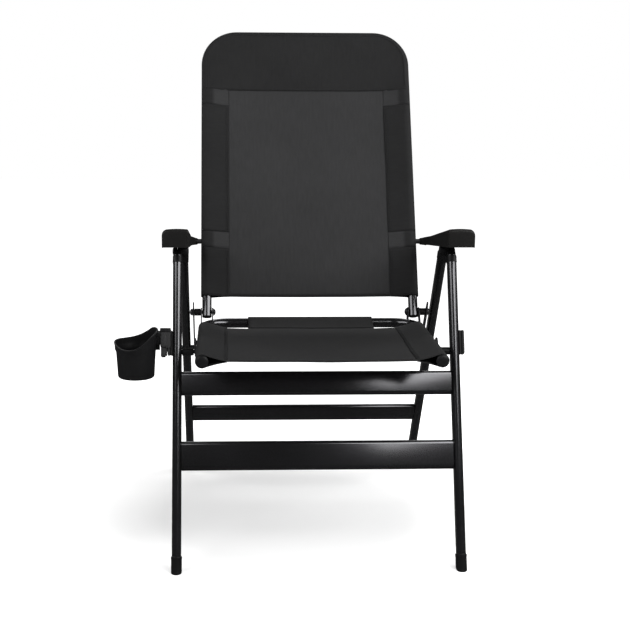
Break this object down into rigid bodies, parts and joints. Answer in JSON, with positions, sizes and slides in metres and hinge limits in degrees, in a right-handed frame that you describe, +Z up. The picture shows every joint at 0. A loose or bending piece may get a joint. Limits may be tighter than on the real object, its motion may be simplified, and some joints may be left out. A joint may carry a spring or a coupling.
{
  "type": "folding beach chair",
  "caption": "Folding reclining chair with a dark tube frame, stretched mesh seat and high back, moulded arm rests and a clip-on cup holder.",
  "frame": {"origin": "on the floor, under the middle of the bounding box of the open, upright chair with its cup holder", "axes": "+Z up, +Y towards the back of the chair, +X to the right of someone who stands in front and faces it"},
  "size_m": [0.7344, 0.716, 1.0857],
  "materials": {
    "anodised_tube": "black anodised, satin",
    "black_steel": "black powder coat",
    "black_plastic": "fine moulded grain",
    "arm_plastic": "fine moulded grain, satin",
    "grey_plastic": "moulded grain",
    "seat_cloth": "coated mesh weave",
    "back_cloth": "coated mesh weave"
  },
  "bodies": {
    "front_frame": {"front_leg_right": "anodised_tube", "front_leg_left": "anodised_tube", "front_foot_right": "black_plastic", "front_foot_left": "black_plastic", "front_leg_head_right": "black_plastic", "front_leg_head_left": "black_plastic", "accessory_bracket_right": "grey_plastic", "accessory_bracket_left": "grey_plastic", "seat_pivot_bolt_right": "black_steel", "seat_pivot_bolt_left": "black_steel", "seat_pivot_spacer_right": "black_plastic", "seat_pivot_spacer_left": "black_plastic", "upper_front_crossbar": "anodised_tube", "lower_front_crossbar": "anodised_tube"},
    "rear_frame": {"rear_leg_right": "anodised_tube", "rear_leg_left": "anodised_tube", "rear_foot_right": "black_plastic", "rear_foot_left": "black_plastic", "rear_leg_head_right": "black_plastic", "rear_leg_head_left": "black_plastic", "apex_pin_right": "black_steel", "apex_pin_left": "black_steel", "link_pin_right": "black_steel", "link_pin_left": "black_steel", "rear_crossbar": "anodised_tube"},
    "seat": {"seat_frame": "anodised_tube", "seat_end_cap_right": "black_plastic", "seat_end_cap_left": "black_plastic", "seat_pivot_bracket_right": "black_steel", "seat_pivot_bracket_left": "black_steel", "hinge_plate_inner_right": "black_steel", "hinge_plate_inner_left": "black_steel", "hinge_plate_outer_right": "black_steel", "hinge_plate_outer_left": "black_steel", "seat_sling": "seat_cloth"},
    "back_hinge": {"back_hinge_bolt_right": "black_steel", "back_hinge_bolt_left": "black_steel", "back_hinge_spacer_right": "black_plastic", "back_hinge_spacer_left": "black_plastic"},
    "back": {"back_frame": "anodised_tube", "back_tube_plug_right": "black_plastic", "back_tube_plug_left": "black_plastic", "back_sling": "back_cloth"},
    "link_right": {"lock_link_right": "black_steel", "link_rivet_right": "black_steel"},
    "link_left": {"lock_link_left": "black_steel", "link_rivet_left": "black_steel"},
    "arm_bolt_right": {"arm_pivot_bolt_right": "black_steel"},
    "arm_bolt_left": {"arm_pivot_bolt_left": "black_steel"},
    "arm_right": {"armrest_right": "arm_plastic", "armrest_rack_right": "grey_plastic"},
    "arm_left": {"armrest_left": "arm_plastic", "armrest_rack_left": "grey_plastic"},
    "cup_holder": {"cup": "black_plastic", "cup_neck": "black_plastic", "cup_clip": "grey_plastic"}
  },
  "joints": [
    {"name": "fold", "type": "hinge", "parent": "front_frame", "child": "rear_frame", "pos_m": [0.04971, -0.08868, 0.6195], "axis": [-1, 0, 0], "range_deg": [0, 53.6]},
    {"name": "seat_fold", "type": "hinge", "parent": "front_frame", "child": "seat", "pos_m": [0.04971, -0.17668, 0.421], "axis": [-1, 0, 0], "range_deg": [0, 101.6]},
    {"name": "hinge_fold", "type": "hinge", "parent": "seat", "child": "back_hinge", "pos_m": [0.04971, 0.01632, 0.468], "axis": [1, 0, 0], "range_deg": [0, 109.9]},
    {"name": "recline", "type": "hinge", "parent": "back_hinge", "child": "back", "pos_m": [0.04971, 0.01632, 0.468], "axis": [-1, 0, 0], "range_deg": [0, 30]},
    {"name": "link_fold_right", "type": "hinge", "parent": "rear_frame", "child": "link_right", "pos_m": [0.31021, 0.08183, 0.37348], "axis": [-1, 0, 0], "range_deg": [0, 152.9]},
    {"name": "arm_fold_right", "type": "hinge", "parent": "back", "child": "arm_bolt_right", "pos_m": [0.30171, 0.08909, 0.6172], "axis": [-1, 0, 0], "range_deg": [0, 107.7]},
    {"name": "arm_recline_right", "type": "hinge", "parent": "arm_bolt_right", "child": "arm_right", "pos_m": [0.30171, 0.08909, 0.6172], "axis": [1, 0, 0], "range_deg": [0, 19.5]},
    {"name": "link_fold_left", "type": "hinge", "parent": "rear_frame", "child": "link_left", "pos_m": [-0.21079, 0.08183, 0.37348], "axis": [-1, 0, 0], "range_deg": [0, 152.9]},
    {"name": "arm_fold_left", "type": "hinge", "parent": "back", "child": "arm_bolt_left", "pos_m": [-0.20229, 0.08909, 0.6172], "axis": [-1, 0, 0], "range_deg": [0, 107.7]},
    {"name": "arm_recline_left", "type": "hinge", "parent": "arm_bolt_left", "child": "arm_left", "pos_m": [-0.20229, 0.08909, 0.6172], "axis": [1, 0, 0], "range_deg": [0, 19.5]},
    {"name": "cup_lift", "type": "slide", "parent": "front_frame", "child": "cup_holder", "axis": [0, 0.3458, 0.9383], "range_m": [0, 0.06]}
  ],
  "couplings": [
    {"joint": "seat_fold", "follows": "fold", "ratio": 1.895},
    {"joint": "hinge_fold", "follows": "fold", "ratio": 2.05},
    {"joint": "link_fold_right", "follows": "fold", "ratio": 2.851},
    {"joint": "arm_fold_right", "follows": "fold", "ratio": 2.009},
    {"joint": "arm_recline_right", "follows": "recline", "ratio": 0.647},
    {"joint": "link_fold_left", "follows": "fold", "ratio": 2.851},
    {"joint": "arm_fold_left", "follows": "fold", "ratio": 2.009},
    {"joint": "arm_recline_left", "follows": "recline", "ratio": 0.647}
  ]
}
